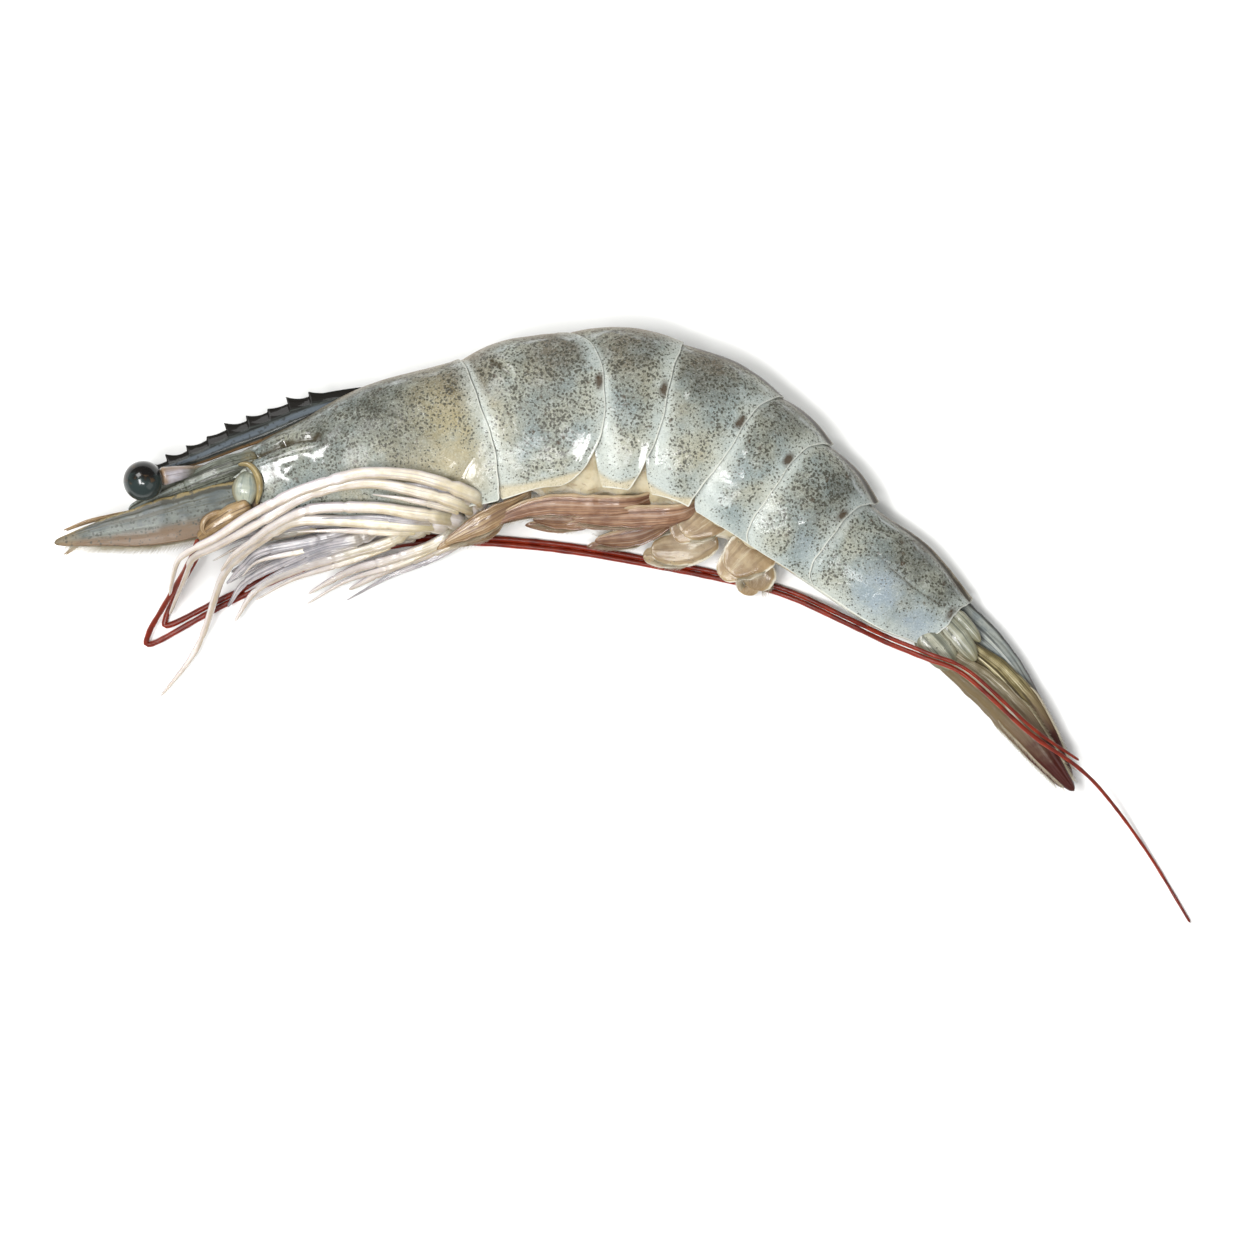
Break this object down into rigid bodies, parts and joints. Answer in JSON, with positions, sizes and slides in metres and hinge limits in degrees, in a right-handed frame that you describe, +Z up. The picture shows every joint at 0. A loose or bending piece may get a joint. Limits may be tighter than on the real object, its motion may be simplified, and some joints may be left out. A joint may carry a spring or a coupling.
{
  "type": "raw shrimp",
  "caption": "Whole raw shrimp with head, shell, legs and long feelers on, lying on its side for a plate, bowl or market display.",
  "frame": {"origin": "on the board, under the centre of the box round the whole shrimp", "axes": "+X from head to tail, +Y from belly to back, +Z up out of the left side, which faces up"},
  "size_m": [0.169, 0.0888, 0.0201],
  "materials": {
    "raw_shell": "translucent grey-blue raw shell, wet and glossy, with fine dark speckles and pale rims",
    "raw_meat": "moist cream-coloured raw meat and belly skin",
    "eye_black": "black-brown glossy eye",
    "eye_stalk": "off-white moist stalk",
    "translucent_scale": "thin translucent horny blade, grey-olive with dark edge",
    "pale_limb": "pale ivory translucent skin, wet",
    "swimmeret_skin": "cream to pinkish brown wet skin",
    "tail_blade": "translucent grey-olive tail blade with dark red tip",
    "red_feeler": "glossy dark red-brown feeler"
  },
  "bodies": {
    "root": {"flesh": "raw_meat", "carapace": "raw_shell", "shell_1": "raw_shell", "shell_2": "raw_shell", "shell_3": "raw_shell", "shell_4": "raw_shell", "shell_5": "raw_shell", "shell_6": "raw_shell", "eye_left": "eye_black", "eye_right": "eye_black", "eye_stalk_left": "eye_stalk", "eye_stalk_right": "eye_stalk", "antennal_scale_left": "translucent_scale", "antennal_scale_right": "translucent_scale", "antennule_left": "translucent_scale", "antennule_right": "translucent_scale", "antenna_base_left": "pale_limb", "antenna_base_right": "pale_limb", "antenna_left": "red_feeler", "antenna_right": "red_feeler", "maxilliped_left": "pale_limb", "maxilliped_right": "pale_limb", "leg_1_left": "pale_limb", "leg_1_right": "pale_limb", "leg_2_left": "pale_limb", "leg_2_right": "pale_limb", "leg_3_left": "pale_limb", "leg_3_right": "pale_limb", "leg_4_left": "pale_limb", "leg_4_right": "pale_limb", "leg_5_left": "pale_limb", "leg_5_right": "pale_limb", "swimmeret_1_left": "swimmeret_skin", "swimmeret_1_right": "swimmeret_skin", "swimmeret_2_left": "swimmeret_skin", "swimmeret_2_right": "swimmeret_skin", "swimmeret_3_left": "swimmeret_skin", "swimmeret_3_right": "swimmeret_skin", "swimmeret_4_left": "swimmeret_skin", "swimmeret_4_right": "swimmeret_skin", "swimmeret_5_left": "swimmeret_skin", "swimmeret_5_right": "swimmeret_skin", "telson": "tail_blade", "uropod_base_left": "tail_blade", "uropod_base_right": "tail_blade", "uropod_inner_left": "tail_blade", "uropod_inner_right": "tail_blade", "uropod_outer_left": "tail_blade", "uropod_outer_right": "tail_blade"}
  },
  "joints": []
}
